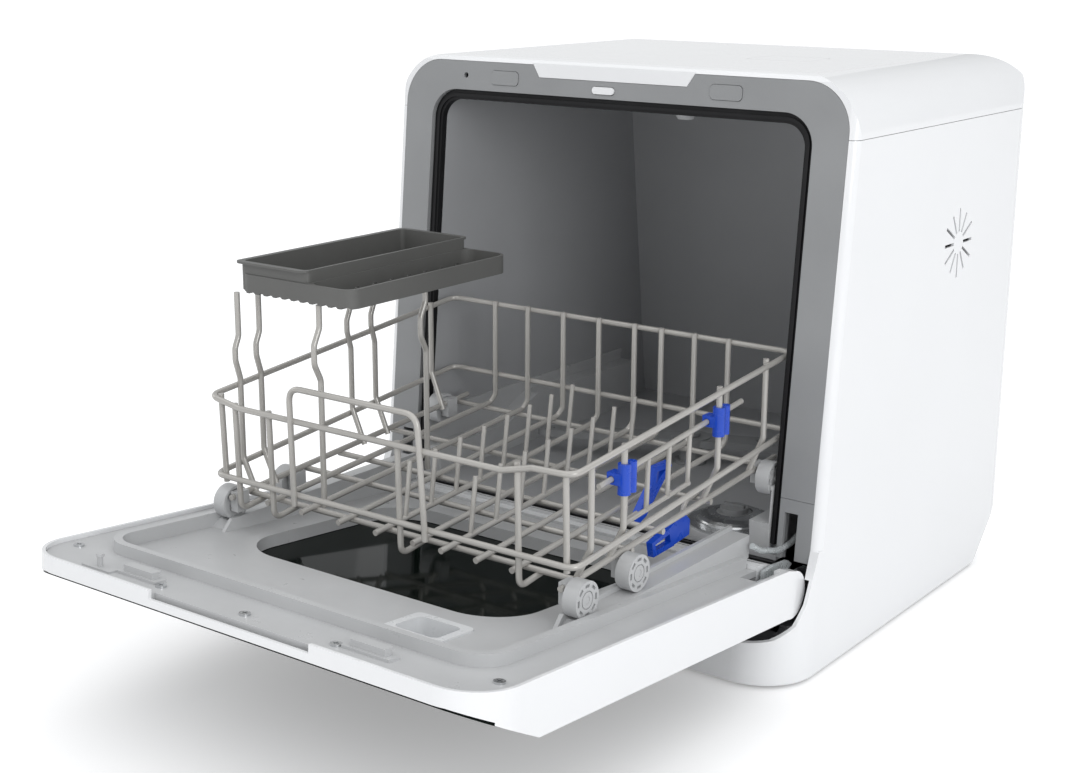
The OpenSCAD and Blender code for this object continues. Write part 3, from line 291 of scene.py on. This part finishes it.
def basket_runs():
    runs = []

    def run(points, radius=WIRE_R, bend=6.0):
        runs.append((points, radius, bend))

    down_by, up_from, up_by = DIP_X
    top_front = [(-SIDE_X, FRONT_Y, TOP_LEFT_Z), (down_by, FRONT_Y, TOP_DIP_Z),
                 (up_from, FRONT_Y, TOP_DIP_Z), (up_by, FRONT_Y, TOP_RIGHT_Z - 1),
                 (SIDE_X, FRONT_Y, TOP_RIGHT_Z)]
    middle_front = [(side * SIDE_X, FRONT_Y + 2, MIDDLE_FRONT_Z) for side in (-1, 1)]
    run(loop(top_front, TOP_BACK_Z), bend=RAIL_BEND)
    run(loop(middle_front, MIDDLE_BACK_Z), bend=RAIL_BEND)
    for side in (-1, 1):
        run([(side * RUNNER_X, y, z) for y, z in (RUNNER_FRONT, RUNNER_BACK)])
    for y in RIGHT_UPRIGHTS:
        run(side_upright(1, y, [(INNER_X, y, climb(y, RIM))]), bend=UPRIGHT_BEND)
    for y in LEFT_POSTS:
        run(side_upright(-1, y, cranked(-INNER_X, y, LEFT_CRANK)), bend=POST_BEND)
    left_end = (-INNER_X, LEFT_UPRIGHT, climb(LEFT_UPRIGHT, RIM))
    run(side_upright(-1, LEFT_UPRIGHT, [left_end]), bend=UPRIGHT_BEND)
    for y in CROSS_WIRES:
        run([(side * (RUNNER_X + 2), y, climb(y, FLOOR) - WELD) for side in (-1, 1)])
    for x in FLOOR_WIRES:
        run([(x, FLOOR_START_Y, climb(FLOOR_START_Y, FLOOR)), (x, BACK_Y - 6, climb(BACK_Y + 2, FLOOR)),
             (x + WELD, BACK_Y - WELD, BACK_KNEE_Z), (x + WELD, BACK_Y - WELD, BACK_END_Z)],
            bend=UPRIGHT_BEND)
    for x, top in FRONT_UPRIGHTS.items():
        run([(x, FRONT_Y + WELD, top), (x, FRONT_Y + 5, FRONT_KNEE_Z), (x, FRONT_Y + 29, FRONT_TOE_Z)],
            bend=FRONT_BEND)
    for side in (-1, 1):
        run([(side * CORNER_X, FRONT_Y + WELD, TOP_RIGHT_Z), (side * CORNER_X, FRONT_Y + 5, CORNER_FOOT_Z)])
    run([(x, FRONT_Y - WELD + back, z) for x, back, z in HOOP], bend=HOOP_BEND)
    for x in TINE_ROWS:
        for y in TINES:
            run([(x, y, climb(y, FLOOR)), (x, y + TINE_LEAN, climb(y, TINE_TIP))], WIRE_R * 0.8)
    for y in INNER_POSTS:
        run([(INNER_POSTS_X, y, FLOOR[0]), *cranked(INNER_POSTS_X, y, INNER_CRANK)], bend=POST_BEND)
    for hook in HOOKS:
        run(hook, THIN_R)
    return runs


wires("basket_wires", basket_runs(), "basket", MAT["coated_wire"], "basket_frame")

# ---------------------------------------------------------------- folding rack

ROD_X = SIDE_X - 10
ROD_ENDS = ((-190, 190), (-10, 208))          # (y, z)
FINGER_R = 1.8
FINGER_TOP, FINGER_TIP, TIP_BAR = (186, 214), (148, 174), (149, 175)
FINGERS = (-158, -132, -106, -80)
STRAIGHT = 0                                  # the bend radius of a run of two points

rack_runs = [([(ROD_X, y, z) for y, z in ROD_ENDS], THIN_R, STRAIGHT)]
for y in FINGERS:
    finger = [(ROD_X, y, climb(y, FINGER_TOP) - 1), (ROD_X - 1, y, climb(y, FINGER_TIP))]
    rack_runs.append((finger, FINGER_R, STRAIGHT))
bar = [(ROD_X - 1, y, climb(y, TIP_BAR)) for y in (FINGERS[0] - 2, FINGERS[-1] + 2)]
rack_runs.append((bar, FINGER_R, STRAIGHT))
wires("rack_wires", rack_runs, "rack", MAT["coated_wire"], "cup_rack")

# ---------------------------------------------------------------- softened edges

WHEELS = [f"wheel_{place}_{side}" for place in ("front", "mid", "rear") for side in ("left", "right")]
SOFT_EDGES = {                # width in mm: pieces
    0.4: ["kick_panel"],
    0.5: ["front_frame", "cutlery_tray", "hinge_cover_left", "hinge_cover_right", "tine_clips",
          "wheel_clips", *WHEELS],
    0.6: ["latch_hooks", "detergent_cup", "latch_pads", "latch_plunger", "fill_cap"],
    0.7: ["door_inner_panel"],
    0.8: ["door_shell", "door_gasket", "spray_arm"],
    1.2: ["tub"],
}
SHARP_FROM = math.radians(38)

for width, names in SOFT_EDGES.items():
    for name in names:
        bevel = NODES[name].modifiers.new("edge", "BEVEL")
        bevel.width = width / 1000
        bevel.segments = 2
        bevel.limit_method = "ANGLE"
        bevel.angle_limit = SHARP_FROM

# ---------------------------------------------------------------- hinge rods

# one rod at each end of the door, from its inner panel down and up again into the slot
HINGE_ROD = ((172, -22, 105), (174, -12, 99), (178, 6, 94.5), (181, 20, 97), (184, 30, 104))
HINGE_ROD_R, HINGE_ROD_BEND = 2.4, 12

for mirror, side in ((-1, "left"), (1, "right")):
    rod = [(mirror * x, y, z) for x, y, z in HINGE_ROD]
    wires("hinge_rod_" + side, [(rod, HINGE_ROD_R, HINGE_ROD_BEND)], "door", MAT["zinc"])

# ---------------------------------------------------------------- stage


def stage_material(name, colour, lift):
    """Diffuse floor, lifted a little for camera rays so that the studio shadow stays pale."""
    mat, tree, out = new_material(name)
    plain = add(tree, "BsdfDiffuse", {"Color": (*colour, 1)})
    glow = add(tree, "Emission", {"Strength": lift})
    lifted = add(tree, "AddShader")
    seen = add(tree, "LightPath")
    mix = add(tree, "MixShader")
    link(tree,
         (plain, "BSDF", lifted, 0), (glow, "Emission", lifted, 1),
         (seen, "Is Camera Ray", mix, "Fac"), (plain, "BSDF", mix, 1), (lifted, "Shader", mix, 2),
         (mix, "Shader", out, "Surface"))
    return mat


bpy.ops.mesh.primitive_plane_add(size=80, location=(0, 0, 0))
floor = bpy.context.object
floor.name = "floor"
floor.data.materials.append(stage_material("floor_white", (0.90, 0.90, 0.905), lift=0.26))

# a white world for the camera, and a weaker, slightly cool one for everything else
world = bpy.data.worlds.new("world")
bpy.context.scene.world = world
world.use_nodes = True
world.node_tree.nodes.clear()
world_out = add(world.node_tree, "OutputWorld")
backdrop = add(world.node_tree, "Background", {"Color": (1, 1, 1, 1), "Strength": 1.0})
ambient = add(world.node_tree, "Background", {"Color": (0.97, 0.985, 1.0, 1), "Strength": 0.62})
world_seen = add(world.node_tree, "LightPath")
world_mix = add(world.node_tree, "MixShader")
link(world.node_tree,
     (world_seen, "Is Camera Ray", world_mix, "Fac"), (ambient, "Background", world_mix, 1),
     (backdrop, "Background", world_mix, 2), (world_mix, "Shader", world_out, "Surface"))


def aim(light, place, target):
    bpy.context.scene.collection.objects.link(light)
    light.location = place
    light.rotation_mode = "QUATERNION"
    light.rotation_quaternion = (Vector(place) - Vector(target)).to_track_quat("Z", "Y")


def area(name, place, target, size, power, colour=(1, 1, 1)):
    data = bpy.data.lights.new(name, "AREA")
    data.energy = power
    data.size = size
    data.color = colour
    aim(bpy.data.objects.new(name, data), place, target)


def sun(name, place, strength, spread):
    data = bpy.data.lights.new(name, "SUN")
    data.energy = strength
    data.angle = math.radians(spread)
    aim(bpy.data.objects.new(name, data), place, (0, 0, 0))


# places and sizes in metres of the frame; window stands behind and shows in the top face
sun("overhead", (0.3, -0.15, 2.0), strength=1.1, spread=100)
area("left", (-2.6, -0.6, 1.3), (0, 0, 0.2), size=1.4, power=8)
area("right", (2.3, -1.25, 0.9), (-0.1, 0.1, 0.25), size=1.1, power=18, colour=(0.98, 0.99, 1.0))
area("front", (-0.2, -2.3, 0.6), (0, 0.1, 0.2), size=1.2, power=2.5)
area("window", (-1.8, 3.0, 1.15), (0, 0.2, 0.45), size=1.6, power=1.6)

# ---------------------------------------------------------------- camera
# fitted to edge points of the photo; its place is in millimetres of the CAD layout, LENS and SENSOR in mm

YAW, PITCH, ROLL = math.radians(36.59), math.radians(14.84), math.radians(0.26)
CAMERA_PLACE = (737.7, -1042.6, 530.3)
LENS, SENSOR = 56.475, 36

ahead = Vector((-math.sin(YAW) * math.cos(PITCH), math.cos(YAW) * math.cos(PITCH), -math.sin(PITCH)))
level = Vector((math.cos(YAW), math.sin(YAW), 0))
upright = level.cross(ahead)
right = math.cos(ROLL) * level + math.sin(ROLL) * upright
up = -math.sin(ROLL) * level + math.cos(ROLL) * upright
camera_data = bpy.data.cameras.new("camera")
camera_data.lens = LENS
camera_data.sensor_width = SENSOR
camera_data.clip_end = 100
camera = bpy.data.objects.new("camera", camera_data)
bpy.context.scene.collection.objects.link(camera)
turned = Matrix((right, up, -ahead)).transposed().to_4x4()
camera.matrix_world = Matrix.Translation(at(*CAMERA_PLACE)) @ turned
bpy.context.scene.camera = camera

bpy.context.scene.view_settings.view_transform = "Standard"
